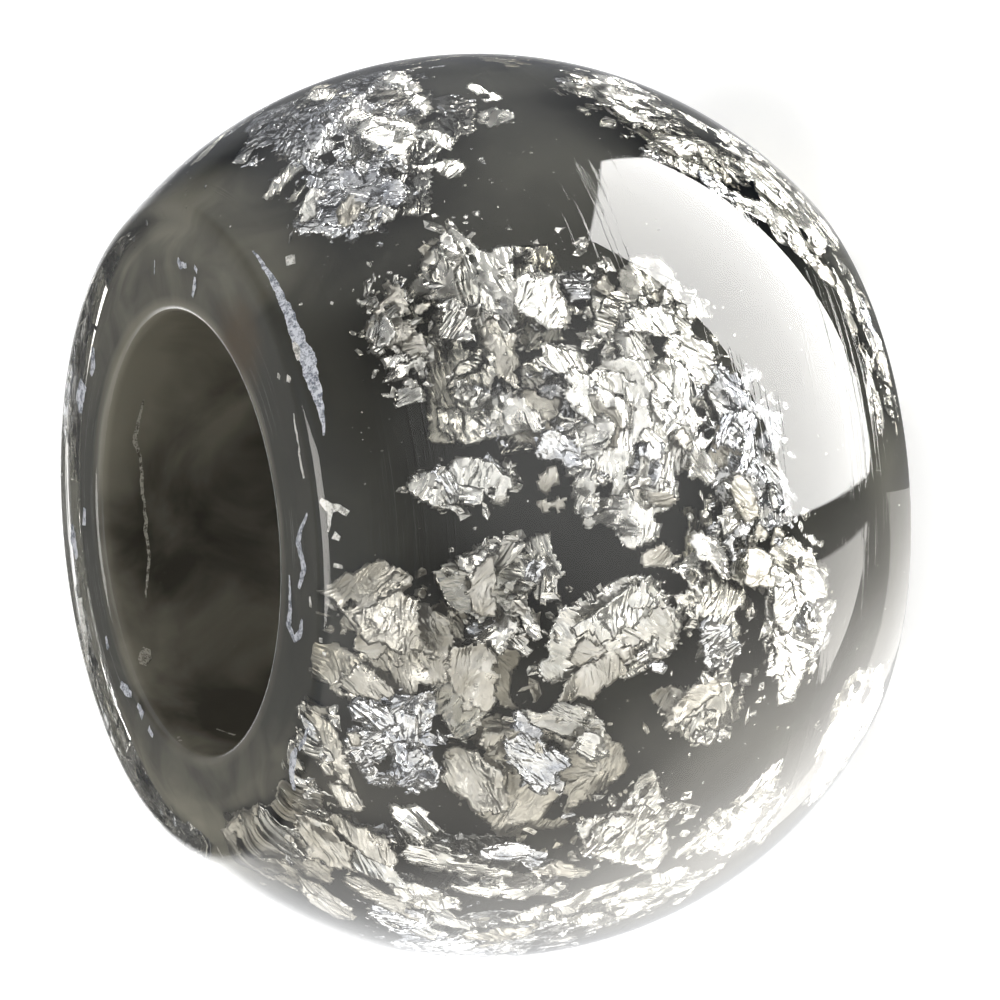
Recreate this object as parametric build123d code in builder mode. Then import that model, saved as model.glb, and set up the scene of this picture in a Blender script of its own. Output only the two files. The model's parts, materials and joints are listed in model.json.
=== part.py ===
"""European charm bead: one cast resin bead with torn silver leaf under its surface.

The bead is a slice of a ball with a wide round bore. It lies on its lower end face.
Z runs along the bore, -Y is the side that is looked at, and the origin is the middle
of the lower end face. Lengths are in millimetres and angles in degrees.
"""

import os
from math import atan2, cos, degrees, pi, radians, sin, sqrt

from build123d import *

# Resin bead
bead_diameter = 12.0
bead_width = 8.5
bore_diameter = 5.8
rim_rounding = 0.35
bore_edge_rounding = 0.12

# Silver leaf. The leaf itself is far thinner, but crumpled it takes up this much depth.
leaf_thickness = 0.10
leaf_clearance = 0.02
leaf_cover = 0.22
leaf_wall = 0.04
leaf_face_margin = 0.16
outline_corners = 16
tear_depth = 0.16
# Waves round a torn outline: how many, their share of the depth, and how far they turn
# from one flake to the next, in radians.
tear_waves = [(3, 1.0, 2.4), (5, 0.6, 1.7)]

bead_radius = bead_diameter / 2
bore_radius = bore_diameter / 2
half_width = bead_width / 2
bead_centre = Vector(0, 0, half_width)
leaf_layer_pitch = leaf_thickness + 2 * leaf_clearance + leaf_wall

# Each flake: longitude of its middle from -Y towards +X, height of its middle and its own
# height as shares of the bead width, the longitude that it spans, how far its top leads
# its middle in longitude, and its layer, counted inwards from the surface.
LONGITUDE, HEIGHT, SPAN, TALL, LEAD, LAYER = range(6)
leaf_flakes = [
    # upper cluster beside the rim, seen at the top left
    (70, 0.73, 37, 0.26, 0, 1),
    (54, 0.82, 14, 0.13, 3, 0),
    # band round the far shoulder, seen at the top right
    (64, 0.34, 17, 0.15, 3, 0),
    (53, 0.30, 13, 0.17, 4, 1),
    (47, 0.13, 26, 0.16, 2, 0),
    (22, 0.045, 22, 0.045, -2, 0),
    # middle field
    (27, 0.85, 17, 0.055, 0, 0),
    (27, 0.74, 28, 0.115, 3, 1),
    (27, 0.62, 14, 0.15, 2, 2),
    (20, 0.485, 18, 0.18, 0, 1),
    (6, 0.55, 21, 0.19, 4, 0),
    (12, 0.69, 8, 0.14, 0, 2),
    (2, 0.37, 23, 0.14, 0, 1),
    (3, 0.80, 6, 0.12, 2, 0),
    (-12, 0.755, 13, 0.11, -4, 1),
    # lower left field
    (-21, 0.895, 19, 0.13, 0, 1),
    (-37, 0.88, 16, 0.10, 0, 0),
    (-26, 0.77, 20, 0.13, 0, 2),
    (-40, 0.67, 19, 0.19, 4, 1),
    (-44, 0.955, 16, 0.04, 0, 1),
    # lower right field
    (-18, 0.60, 10, 0.21, -7, 0),
    (-13, 0.42, 18, 0.12, 0, 2),
    (-19, 0.29, 18, 0.12, 0, 0),
    (-30, 0.43, 9, 0.13, -4, 1),
    (-47, 0.515, 13, 0.15, 0, 0),
    (-52, 0.31, 11, 0.14, -2, 1),
    (-45, 0.12, 22, 0.13, 0, 0),
    # bottom bands
    (-73, 0.93, 30, 0.12, 4, 1),
    (-60, 0.75, 12, 0.26, 0, 2),
    (-78, 0.63, 20, 0.30, 0, 0),
    (-66, 0.42, 10, 0.20, -3, 1),
    # side away from the view
    (94, 0.42, 24, 0.26, 4, 2),
    (106, 0.82, 24, 0.17, 0, 0),
    (112, 0.20, 26, 0.20, -4, 1),
    (130, 0.54, 24, 0.32, 5, 0),
    (150, 0.83, 30, 0.16, 0, 1),
    (158, 0.28, 28, 0.24, 3, 0),
    (-178, 0.58, 22, 0.28, -5, 2),
    (-160, 0.85, 26, 0.14, 2, 0),
    (-156, 0.26, 24, 0.24, 0, 1),
    (-136, 0.56, 28, 0.30, 4, 0),
    (-114, 0.85, 26, 0.14, 0, 2),
    (-110, 0.28, 28, 0.22, 5, 1),
    (-92, 0.40, 14, 0.18, 0, 2),
]


def ball_point(radius, longitude, height_share):
    """The point of a ball round the bead's centre at a longitude and a share of the bead's width."""
    height = (height_share - 0.5) * bead_width
    reach = sqrt(radius ** 2 - height ** 2)
    return Vector(reach * sin(radians(longitude)), -reach * cos(radians(longitude)), height)


def torn_outline(number, flake, radius):
    """Corners of a torn flake on a ball: an oval whose reach wavers with the tear waves."""
    corners = []
    for step in range(outline_corners):
        angle = 2 * pi * step / outline_corners
        waver = sum(share * sin(waves * angle + turn * number) for waves, share, turn in tear_waves)
        across = (1 + tear_depth * waver) * cos(angle)
        up = (1 + tear_depth * waver) * sin(angle)
        longitude = flake[LONGITUDE] + across * flake[SPAN] / 2 + up * flake[LEAD]
        corners.append(ball_point(radius, longitude, flake[HEIGHT] + up * flake[TALL] / 2))
    return corners


def flake_patch(number, flake, ease):
    """A torn patch of a thin ball-shaped shell, made larger all round by ease for its pocket."""
    outer_radius = bead_radius - leaf_cover - flake[LAYER] * leaf_layer_pitch
    inner_radius = outer_radius - leaf_thickness
    outward = ball_point(outer_radius, flake[LONGITUDE], flake[HEIGHT]).normalized()
    around = Vector(0, 0, 1).cross(outward).normalized()
    placement = Plane(bead_centre, x_dir=around, z_dir=outward)
    outline = [
        (corner.dot(placement.x_dir), corner.dot(placement.y_dir))
        for corner in torn_outline(number, flake, outer_radius)
    ]
    with BuildPart() as patch:
        with BuildSketch(placement):
            with BuildLine():
                Polyline(*outline, close=True)
            make_face()
            if ease:
                offset(amount=ease, kind=Kind.INTERSECTION)
        extrude(amount=bead_radius)
        with Locations(bead_centre):
            Sphere(outer_radius + ease, mode=Mode.INTERSECT)
            Sphere(inner_radius - ease, mode=Mode.SUBTRACT)
            Cylinder(bead_radius, bead_width - 2 * (leaf_face_margin - ease), mode=Mode.INTERSECT)
    return patch


silver_leaves = []
leaf_pockets = []
for number, flake in enumerate(leaf_flakes, start=1):
    silver_leaves.append(flake_patch(number, flake, 0))
    leaf_pockets.append(flake_patch(number, flake, leaf_clearance).part)

# The rim rounding touches the ball from inside and the end face from below.
rim_centre_height = half_width - rim_rounding
rim_centre_reach = sqrt((bead_radius - rim_rounding) ** 2 - rim_centre_height ** 2)
rim_start_angle = degrees(atan2(rim_centre_height, rim_centre_reach))
upper_rim_centre = (rim_centre_reach, bead_width - rim_rounding)
bore_edge_reach = bore_radius + bore_edge_rounding
upper_edge_centre = (bore_edge_reach, bead_width - bore_edge_rounding)

with BuildPart() as resin_body:
    with BuildSketch(Plane.XZ):
        with BuildLine():
            barrel = CenterArc((0, half_width), bead_radius, -rim_start_angle, 2 * rim_start_angle)
            upper_rim = CenterArc(upper_rim_centre, rim_rounding, rim_start_angle, 90 - rim_start_angle)
            upper_face = Line(upper_rim @ 1, (bore_edge_reach, bead_width))
            upper_edge = CenterArc(upper_edge_centre, bore_edge_rounding, 90, 90)
            bore_wall = Line(upper_edge @ 1, (bore_radius, bore_edge_rounding))
            lower_edge = CenterArc((bore_edge_reach, bore_edge_rounding), bore_edge_rounding, 180, 90)
            lower_face = Line(lower_edge @ 1, (rim_centre_reach, 0))
            lower_rim = CenterArc((rim_centre_reach, rim_rounding), rim_rounding, -90, 90 - rim_start_angle)
        make_face()
    revolve(axis=Axis.Z)
    add(leaf_pockets, mode=Mode.SUBTRACT)

os.makedirs("parts", exist_ok=True)
resin_body.part.label = "resin_body"
export_step(resin_body.part, "parts/resin_body.step")
for number, leaf in enumerate(silver_leaves, start=1):
    leaf.part.label = f"silver_leaf_{number:02d}"
    export_step(leaf.part, f"parts/{leaf.part.label}.step")
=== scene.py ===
"""A european charm bead of smoky resin with torn silver leaf in it, dressed for a studio picture.

The bead lies on its lower end face, its bore runs along +Z, and the camera looks at the side that faces -Y.
Places in the resin are a longitude round the bore (0 at -Y, +90 at +X) and a share of the width (0 at the
lower end face, 1 at the upper one). Longitudes are degrees, and lengths are metres unless a line says else.
"""

import json
import logging
import math
from dataclasses import dataclass, field
from enum import Enum

import bpy
import numpy as np
from mathutils import Matrix

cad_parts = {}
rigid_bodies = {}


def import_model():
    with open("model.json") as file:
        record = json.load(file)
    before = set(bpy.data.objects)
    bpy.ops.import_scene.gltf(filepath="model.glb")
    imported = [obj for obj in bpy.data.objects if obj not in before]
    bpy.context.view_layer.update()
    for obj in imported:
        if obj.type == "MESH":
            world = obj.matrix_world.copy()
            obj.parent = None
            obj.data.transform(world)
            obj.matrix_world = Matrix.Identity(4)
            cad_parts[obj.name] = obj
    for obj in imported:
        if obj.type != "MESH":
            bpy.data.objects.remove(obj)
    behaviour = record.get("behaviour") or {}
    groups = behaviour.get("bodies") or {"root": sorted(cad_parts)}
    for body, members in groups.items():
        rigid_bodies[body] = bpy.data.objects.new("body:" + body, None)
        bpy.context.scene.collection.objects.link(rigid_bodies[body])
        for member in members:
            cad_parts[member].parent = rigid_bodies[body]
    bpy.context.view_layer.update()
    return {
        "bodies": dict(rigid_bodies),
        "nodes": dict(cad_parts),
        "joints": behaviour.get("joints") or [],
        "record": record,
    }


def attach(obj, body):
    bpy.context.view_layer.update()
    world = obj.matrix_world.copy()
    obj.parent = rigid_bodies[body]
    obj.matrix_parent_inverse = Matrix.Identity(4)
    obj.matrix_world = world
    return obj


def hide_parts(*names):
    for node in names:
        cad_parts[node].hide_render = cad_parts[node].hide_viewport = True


Array, Rng, Piece = np.ndarray, np.random.Generator, bpy.types.Object
Material, Socket = bpy.types.Material, bpy.types.NodeSocket
Mesh = tuple[np.ndarray, np.ndarray]
Pair = tuple[float, float]
Triple = tuple[float, float, float]

log = logging.getLogger("charm_bead")

MM = 0.001
BALL_MIDDLE = 4.25 * MM
LEAF_WALL = 0.006 * MM
RESIN_BENDING = 1.5
WHITE = (1.0, 1.0, 1.0)
STIRRERS = (374761393, 668265263, 974634777, 1274126177, 2246822519)


# Shared shapes
def lattice_value(column: Array, row: Array, seed: int) -> Array:
    """One fixed random number for each lattice point: its whole numbers and the seed, stirred as 32-bit
    words.

    Args:
        column: Whole numbers across.
        row: Whole numbers up.
        seed: Which lattice.

    Returns:
        Numbers from 0 to 1.
    """
    across, up, which, second, third = STIRRERS
    word = (column.astype(np.int64) * across + row.astype(np.int64) * up + seed * which) & 0xFFFFFFFF
    word = ((word ^ (word >> 13)) * second) & 0xFFFFFFFF
    word = ((word ^ (word >> 15)) * third) & 0xFFFFFFFF
    return ((word ^ (word >> 16)) & 0xFFFFFF) / float(0xFFFFFF)


def cloud(across: Array, up: Array, cell: float, seed: int, levels: int = 3) -> Array:
    """Smooth noise: lattice values eased between neighbours, each finer level half as wide and half as
    strong.

    Args:
        across: Place across.
        up: Place up.
        cell: Width of the coarsest lattice cell.
        seed: Which noise.
        levels: How many levels.

    Returns:
        Noise from about -1 to 1.
    """
    total, weight = np.zeros(np.broadcast(across, up).shape), 0.0
    for level in range(levels):
        scale, share = 2.0 ** level / cell, 0.5 ** level
        x, y = across * scale + 17.3 * level, up * scale - 9.1 * level
        column, row = np.floor(x), np.floor(y)
        fx, fy = x - column, y - row
        fx, fy = fx * fx * (3 - 2 * fx), fy * fy * (3 - 2 * fy)
        a, b, c, d = (lattice_value(column + right, row + top, seed + level)
                      for top in (0, 1) for right in (0, 1))
        total += share * ((a * (1 - fx) + b * fx) * (1 - fy) + (c * (1 - fx) + d * fx) * fy - 0.5) * 2
        weight += share
    return total / weight * 1.5


def folds(distance: Array, wavelength: float, slope: float) -> Array:
    """A triangle wave of the distance across the creases, so each side of a crease has the same slope."""
    turn = distance / wavelength
    return slope * wavelength / 4 * (4 * np.abs(turn - np.floor(turn + 0.5)) - 1)


def round_axis(radius: Array, turn: Array, height: Array) -> Array:
    """Points at a radius and a height, turned round the bore axis from -Y towards +X, in radians."""
    return np.stack(np.broadcast_arrays(radius * np.sin(turn), -radius * np.cos(turn), height), axis=-1)


def grid_faces(rows: int, columns: int, wrap: bool = False) -> Array:
    """Four-sided faces of a grid of points, row after row.

    Args:
        rows: Number of rows.
        columns: Points in a row.
        wrap: Whether the last row and the last column join the first.

    Returns:
        Corner numbers, faces times 4.
    """
    row = np.arange(rows if wrap else rows - 1)[:, None]
    column = np.arange(columns if wrap else columns - 1)[None, :]
    next_row, next_column = (row + 1) % rows, (column + 1) % columns
    corners = (row * columns + column, row * columns + next_column,
               next_row * columns + next_column, next_row * columns + column)
    return np.stack(np.broadcast_arrays(*corners), axis=-1).reshape(-1, 4)


def joined(parts: list[Mesh]) -> Mesh:
    """Points and faces of several meshes as one."""
    starts = np.cumsum([0] + [len(points) for points, _ in parts])
    return (np.concatenate([points for points, _ in parts]),
            np.concatenate([faces + start for (_, faces), start in zip(parts, starts)]))


def make_piece(name: str, points: Array, faces: Array, materials: list[Material], smooth: bool = False,
               choice: Array | None = None, flat: Array | None = None) -> Piece:
    """A mesh object at the origin.

    Args:
        name: Its name.
        points: In metres, n times 3.
        faces: Corner numbers, m times 3 or 4.
        materials: Its finishes.
        smooth: Whether it is shaded smooth.
        choice: Which finish each face has; without it, the first.
        flat: Each point's place on the flat sheet, for the UV map "leaf".

    Returns:
        The new object, riding on the root body.
    """
    corners = faces.shape[-1]
    used, faces = np.unique(faces, return_inverse=True)
    points, faces = points.reshape(-1, 3)[used], faces.reshape(-1, corners)
    mesh = bpy.data.meshes.new(name)
    mesh.vertices.add(len(points))
    mesh.vertices.foreach_set("co", np.ascontiguousarray(points, np.float32).ravel())
    mesh.loops.add(faces.size)
    mesh.loops.foreach_set("vertex_index", np.ascontiguousarray(faces, np.int32).ravel())
    mesh.polygons.add(len(faces))
    mesh.polygons.foreach_set("loop_start", np.arange(0, faces.size, corners, dtype=np.int32))
    mesh.polygons.foreach_set("use_smooth", np.full(len(faces), smooth))
    for material in materials:
        mesh.materials.append(material)
    if choice is not None:
        mesh.polygons.foreach_set("material_index", choice.astype(np.int32))
    if flat is not None:
        layer = mesh.uv_layers.new(name="leaf")
        layer.data.foreach_set("uv", flat[used][faces.ravel()].astype(np.float32).ravel())
    mesh.update(calc_edges=True)
    mesh.validate()
    piece = bpy.data.objects.new(name, mesh)
    bpy.context.scene.collection.objects.link(piece)
    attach(piece, "root")
    return piece


def thicken(piece: Piece) -> None:
    """Gives sheets of leaf two faces and an edge."""
    wall = piece.modifiers.new("wall", "SOLIDIFY")
    wall.thickness, wall.offset, wall.use_even_offset = LEAF_WALL, 0.0, False


# The bead's own form
@dataclass(frozen=True)
class BeadForm:
    """A ball cut flat at both ends, with a bore through it, as the part's source has it."""

    ball_radius: float = 6.0 * MM
    width: float = 8.5 * MM
    bore_radius: float = 2.9 * MM
    rim_rounding: float = 0.35 * MM
    bore_edge_rounding: float = 0.12 * MM

    @property
    def middle(self) -> float:
        """Height of the ball's centre above the lower end face."""
        return self.width / 2

    def reach(self, radius: float, height: float) -> float:
        """Distance from the bore axis of a shell at a height share."""
        return math.sqrt(radius ** 2 - ((height - 0.5) * self.width) ** 2)

    def compass(self, points: Array) -> tuple[Array, Array, Array]:
        """Unit directions at points: out from the ball's centre, east round the bore axis, and north.

        Args:
            points: In metres, with a last axis of 3.

        Returns:
            Out, east and north.
        """
        out = points - (0.0, 0.0, self.middle)
        out = out / np.linalg.norm(out, axis=-1, keepdims=True)
        east = np.cross((0.0, 0.0, 1.0), out)
        east /= np.linalg.norm(east, axis=-1, keepdims=True)
        return out, east, np.cross(out, east)

    def shell_points(self, radius: Array, longitude: Array, height: Array) -> Array:
        """Points on shells about the ball's centre: z is the height share of the width, and the reach from
        the axis is what the radius leaves beside it.

        Args:
            radius: Shell radius.
            longitude: In degrees.
            height: Share of the width.

        Returns:
            Points, with a last axis of 3.
        """
        z = (height - 0.5) * self.width
        reach = np.sqrt(np.maximum(radius * radius - z * z, 0.0))
        return round_axis(reach, np.radians(longitude), z + self.middle)

    def edge_points(self, longitude: Array, along: Array, depth: float) -> Array:
        """Points under the skin near the upper rim. The distance along the section is negative on the end
        face, 0 where it meets the rounding, and positive over the rounding and down the barrel.

        Args:
            longitude: In degrees.
            along: Distance along the section.
            depth: Depth under the skin.

        Returns:
            Points, with a last axis of 3.
        """
        rim_z = self.middle - self.rim_rounding
        rim_r = math.sqrt((self.ball_radius - self.rim_rounding) ** 2 - rim_z ** 2)
        meet = math.atan2(rim_z, rim_r)
        arc = self.rim_rounding * (math.pi / 2 - meet)
        on_rim, on_barrel = (along > 0) & (along <= arc), along > arc
        slant = np.where(on_barrel, meet - (along - arc) / self.ball_radius,
                         np.pi / 2 - np.where(on_rim, along, 0.0) / self.rim_rounding)
        size = np.where(on_barrel, self.ball_radius, self.rim_rounding) - depth
        radius = np.where(on_barrel, 0.0, rim_r + np.minimum(along, 0.0)) + size * np.cos(slant)
        z = np.where(on_barrel, 0.0, rim_z) + size * np.sin(slant) + self.middle
        return round_axis(radius, np.radians(longitude), z)

    def bore_points(self, longitude: Array, height: Array, depth: float) -> Array:
        """Points a depth behind the bore wall, at heights above the lower end face."""
        return round_axis(self.bore_radius + depth, np.radians(longitude), height)

    def profile(self, fine: int) -> Array:
        """Closed section of the bead: bore wall, rounded bore edge, end face, rounded rim, barrel arc, and
        the same back. Each rounding is an arc whose centre lies its radius inside both lines that it joins.

        Args:
            fine: How many points; each stretch has a share of it.

        Returns:
            Radius and height, n times 2, without a repeated point.
        """
        half, bore, rim, edge = self.middle, self.bore_radius, self.rim_rounding, self.bore_edge_rounding
        rim_z = half - rim
        rim_r = math.sqrt((self.ball_radius - rim) ** 2 - rim_z ** 2)
        meet = math.atan2(rim_z, rim_r)
        wall = np.linspace(0.0, half - edge, fine // 4, endpoint=False)
        quarter = np.linspace(np.pi, np.pi / 2, fine // 8)
        face = np.linspace(bore + edge, rim_r, fine // 5 + 2)[1:-1]
        round_rim = np.linspace(np.pi / 2, meet, fine // 6)
        arc = np.linspace(meet, 0.0, fine // 2 + 1)[1:]
        return self.mirrored([
            np.c_[np.full_like(wall, bore), wall],
            np.c_[bore + edge + edge * np.cos(quarter), half - edge + edge * np.sin(quarter)],
            np.c_[face, np.full_like(face, half)],
            np.c_[rim_r + rim * np.cos(round_rim), rim_z + rim * np.sin(round_rim)],
            np.c_[self.ball_radius * np.cos(arc), self.ball_radius * np.sin(arc)],
        ])

    def mirrored(self, stretches: list[Array]) -> Array:
        """Closed section from the stretches of its upper half, whose heights count from the ball's centre."""
        upper = np.concatenate(stretches)
        return np.concatenate([upper, upper[1:-1][::-1] * (1.0, -1.0)]) + (0.0, self.middle)

    def revolve(self, profile: Array, steps: int) -> Mesh:
        """Carries a closed section round the bore axis.

        Args:
            profile: Radius and height, n times 2.
            steps: Places round the axis.

        Returns:
            Points and outward faces.
        """
        turn = np.linspace(0.0, 2 * np.pi, steps, endpoint=False)[:, None]
        points = round_axis(profile[None, :, 0], turn, profile[None, :, 1])
        return points.reshape(-1, 3), grid_faces(steps, len(profile), True)


# Finishes
class NodeBench:
    """A short hand for building a node tree."""

    def __init__(self, tree: bpy.types.NodeTree, material: Material | None = None) -> None:
        """Takes over a tree, and the material that it belongs to."""
        self.tree, self.material = tree, material

    @classmethod
    def for_material(cls, name: str) -> "NodeBench":
        """A bench for a new material.

        Args:
            name: The material's name.

        Returns:
            The bench, with an empty tree.
        """
        material = bpy.data.materials.new(name)
        material.use_nodes = True
        material.node_tree.nodes.clear()
        return cls(material.node_tree, material)

    def add(self, kind: str, inputs: dict | None = None, **settings: object) -> bpy.types.Node:
        """Adds a node.

        Args:
            kind: Its type without "ShaderNode".
            inputs: Socket name or number to a value or another node's socket.
            settings: Its properties.

        Returns:
            The node.
        """
        node = self.tree.nodes.new("ShaderNode" + kind)
        for key, value in settings.items():
            setattr(node, key, value)
        for key, value in (inputs or {}).items():
            if isinstance(value, Socket):
                self.tree.links.new(value, node.inputs[key])
            else:
                node.inputs[key].default_value = value
        return node

    def math(self, operation: str, *values: float | Socket) -> Socket:
        """Result of a Math node."""
        return self.add("Math", dict(enumerate(values)), operation=operation).outputs[0]

    def vector(self, operation: str, *values: Triple | Socket, **named: float | Socket) -> Socket:
        """Result of a Vector Math node: a number or a vector, as the operation gives."""
        node = self.add("VectorMath", {**dict(enumerate(values)), **named}, operation=operation)
        return node.outputs["Value" if operation in ("LENGTH", "DISTANCE", "DOT_PRODUCT") else "Vector"]

    def place(self) -> Socket:
        """Object coordinates in millimetres."""
        where = self.add("TexCoord").outputs["Object"]
        return self.add("Mapping", {"Vector": where, "Scale": (1 / MM, 1 / MM, 1 / MM)}).outputs["Vector"]

    def noise(self, vector: Socket, scale: float, detail: float = 4.0, distortion: float = 0.0) -> Socket:
        """Noise from 0 to 1, with its scale in cells per millimetre."""
        return self.add("TexNoise", {"Vector": vector, "Scale": scale, "Detail": detail,
                                     "Distortion": distortion}).outputs["Fac"]

    def spread(self, value: Socket, low: float, high: float, start: float = 0.0, end: float = 1.0,
               ease: str = "LINEAR") -> Socket:
        """Maps a value from low..high to start..end, and holds it there."""
        return self.add("MapRange", {"Value": value, "From Min": low, "From Max": high, "To Min": start,
                                     "To Max": end}, interpolation_type=ease).outputs["Result"]

    def blend(self, share: float | Socket, first: Triple | Socket, second: Triple | Socket,
              blend_type: str = "MIX") -> Socket:
        """A colour between two by a share, or their product where the type is MULTIPLY."""
        ends = {n: end if isinstance(end, Socket) else (*end, 1.0) for n, end in ((6, first), (7, second))}
        return self.add("Mix", {0: share, **ends}, data_type="RGBA", blend_type=blend_type).outputs[2]

    def finish(self, **inputs: object) -> Material:
        """Gives the material its surface.

        Args:
            inputs: The shader's inputs, with _ for a space.

        Returns:
            The material.
        """
        shader = self.add("BsdfPrincipled", {name.replace("_", " "): value for name, value in inputs.items()})
        self.add("OutputMaterial", {"Surface": shader.outputs["BSDF"]})
        return self.material


@dataclass(frozen=True)
class ClearResin:
    """The polished skin of the resin: it bends and mirrors light, and carries the lathe's fine lines."""

    tint: Triple = (0.97, 0.965, 0.94)
    line_depth: float = 0.11
    lines_per_mm: float = 22.0
    line_blur: float = 0.35
    line_band: Pair = (0.56, 0.75)
    patch_band: Pair = (0.46, 0.60)

    def material(self) -> Material:
        """Glass-like shader, whose bump is noise stretched round the axis and broken up by a broad cloud.

        Returns:
            The material.
        """
        bench = NodeBench.for_material("clear_resin")
        turned = bench.add("Attribute", attribute_name="turning").outputs["Fac"]
        where = bench.add("SeparateXYZ", {0: bench.place()}).outputs
        ring = bench.add("CombineXYZ", {
            0: bench.math("MULTIPLY", where["X"], self.line_blur),
            1: bench.math("MULTIPLY", where["Y"], self.line_blur),
            2: bench.math("MULTIPLY", turned, self.lines_per_mm)}).outputs[0]
        lines = bench.spread(bench.noise(ring, 1.0, 3.0), *self.line_band)
        patch = bench.spread(bench.noise(bench.place(), 0.55, 2.0), *self.patch_band)
        bump = bench.add("Bump", {"Height": bench.math("MULTIPLY", lines, patch), "Strength": self.line_depth,
                                  "Distance": 0.02 * MM})
        return bench.finish(Base_Color=(*self.tint, 1.0), Roughness=0.0, IOR=RESIN_BENDING,
                            Transmission_Weight=1.0, Normal=bump.outputs["Normal"])


@dataclass(frozen=True)
class SmokyDepth:
    """The smoky depth of the resin: olive grey with faint clouds, browner round the bore. Painted light
    lightens it behind the end faces, as if light came through the thin resin there, and pales the bore wall
    towards +X and towards its openings. A pair says where a tone begins and where it is full, in millimetres:
    along the bore from its middle, aside from the plane that the camera looks along, or out from the bore's
    axis."""

    olive: Triple = (0.030, 0.030, 0.026)
    cloud_tone: Triple = (0.060, 0.060, 0.051)
    # painted light: the lighter tone behind the end faces, as if light came through the thin resin there
    painted_through_light: Triple = (0.240, 0.230, 0.185)
    painted_through_light_along: Pair = (2.9, 3.7)
    painted_through_light_aside: Pair = (2.2, 4.4)
    brown: Triple = (0.062, 0.057, 0.047)
    # painted light: the bore wall's paler tone where light would fall in
    painted_lit_bore_wall: Triple = (0.270, 0.256, 0.212)
    brown_out: Pair = (2.98, 3.12)
    painted_lit_wall_aside: Pair = (0.6, 2.4)
    painted_lit_wall_along: Pair = (3.3, 4.1)
    # tone of a small lighter brown patch at the bore's edge
    brown_patch_tone: Triple = (0.115, 0.083, 0.050)
    brown_patch_place: Triple = (2.4, -2.15, 8.4)
    brown_patch_size: Pair = (0.25, 0.75)

    def material(self) -> Material:
        """Matt shader: two tones mixed by warped noise, then painted light by the distance from the middle
        along the bore and from the camera's plane, brown by the distance from its axis with a painted lit
        tone on the bore wall towards +X and its openings, and a small lighter brown patch round one place at
        the bore's edge.

        Returns:
            The material.
        """
        bench = NodeBench.for_material("smoky_depth")
        place = bench.place()
        drift = bench.spread(bench.noise(place, 0.45, 5.0, 0.6), 0.38, 0.68)
        tone = bench.blend(drift, self.olive, self.cloud_tone)
        x, y, z = bench.add("SeparateXYZ", {0: place}).outputs
        away = bench.math("ABSOLUTE", bench.math("SUBTRACT", z, BALL_MIDDLE / MM))
        # painted light: lighter behind the end faces and away from the plane that the camera looks along, as
        # if light shone through the thin resin there
        aside = bench.math("MULTIPLY_ADD", y, 0.12, bench.math("ABSOLUTE", x))
        veil = bench.spread(bench.noise(place, 0.7, 4.0, 1.2), 0.30, 0.70, -0.9, 0.9)
        aside = bench.spread(bench.math("ADD", aside, veil), *self.painted_through_light_aside, 0.10, 1.0)
        share = bench.math("MULTIPLY", aside, bench.spread(away, *self.painted_through_light_along))
        tone = bench.blend(share, tone, self.painted_through_light)
        reach = bench.vector("LENGTH", bench.vector("MULTIPLY", place, (1.0, 1.0, 0.0)))
        veil = bench.spread(bench.noise(place, 0.55, 4.0, 0.8), 0.32, 0.68, -0.35, 0.50)
        # painted light on the bore wall: paler towards +X and towards the bore's openings, where light would
        # fall in
        pale = bench.math("ADD", bench.spread(x, *self.painted_lit_wall_aside, 0.0, 0.75), veil)
        pale = bench.math("ADD", bench.spread(away, *self.painted_lit_wall_along, 0.0, 0.5), pale)
        wall = bench.blend(bench.spread(pale, 0.0, 1.0), self.brown, self.painted_lit_bore_wall)
        tone = bench.blend(bench.spread(reach, *self.brown_out, 1.0, 0.0), tone, wall)
        # a small lighter brown patch round one place at the bore's edge
        brown_patch_distance = bench.vector("DISTANCE", place, self.brown_patch_place)
        brown_patch_distance = bench.math("MULTIPLY_ADD", veil, -0.6, brown_patch_distance)
        tone = bench.blend(bench.spread(brown_patch_distance, *self.brown_patch_size, 0.8, 0.0), tone, self.brown_patch_tone)
        return bench.finish(Base_Color=tone, Roughness=0.8, Specular_IOR_Level=0.0)


class LeafLook(Enum):
    """How a piece of leaf lies in the resin."""

    BRIGHT = "bright"
    SATIN = "satin"
    SPARKLE = "sparkle"


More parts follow.
